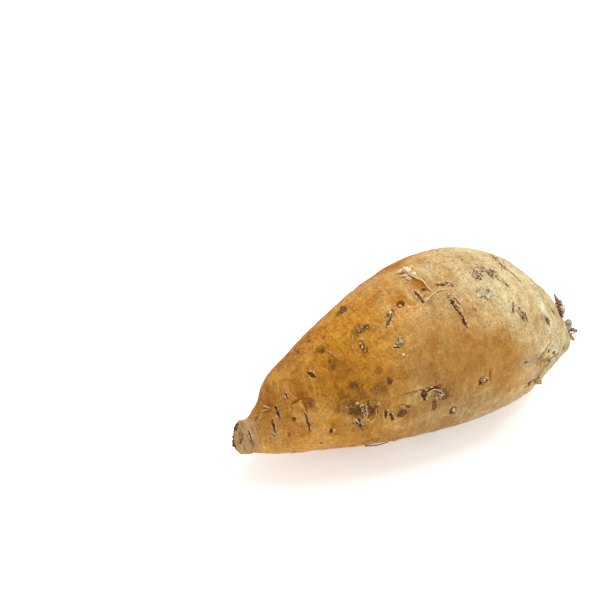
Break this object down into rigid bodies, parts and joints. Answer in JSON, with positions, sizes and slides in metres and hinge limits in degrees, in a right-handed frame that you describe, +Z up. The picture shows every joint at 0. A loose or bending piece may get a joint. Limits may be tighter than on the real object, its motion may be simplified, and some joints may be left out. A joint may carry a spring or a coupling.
{
  "type": "sweet potato",
  "caption": "Whole raw storage root with a thick rounded body, a drooping neck with a broken tip and a blunt crown, lying on its belly",
  "frame": {"origin": "on the resting surface, below the middle of the root's bounding box", "axes": "+X runs along the root from its thin broken tip to its blunt crown, +Y is the far side as it is usually seen, +Z is up"},
  "size_m": [0.164, 0.078, 0.0749],
  "materials": {
    "skin": "matte dusty tan to golden ochre skin with grey-brown soil stains",
    "dry_root": "dry papery light brown rootlets, skin flakes and vine stumps"
  },
  "bodies": {
    "root": {"sweet_potato": "skin"}
  },
  "joints": []
}
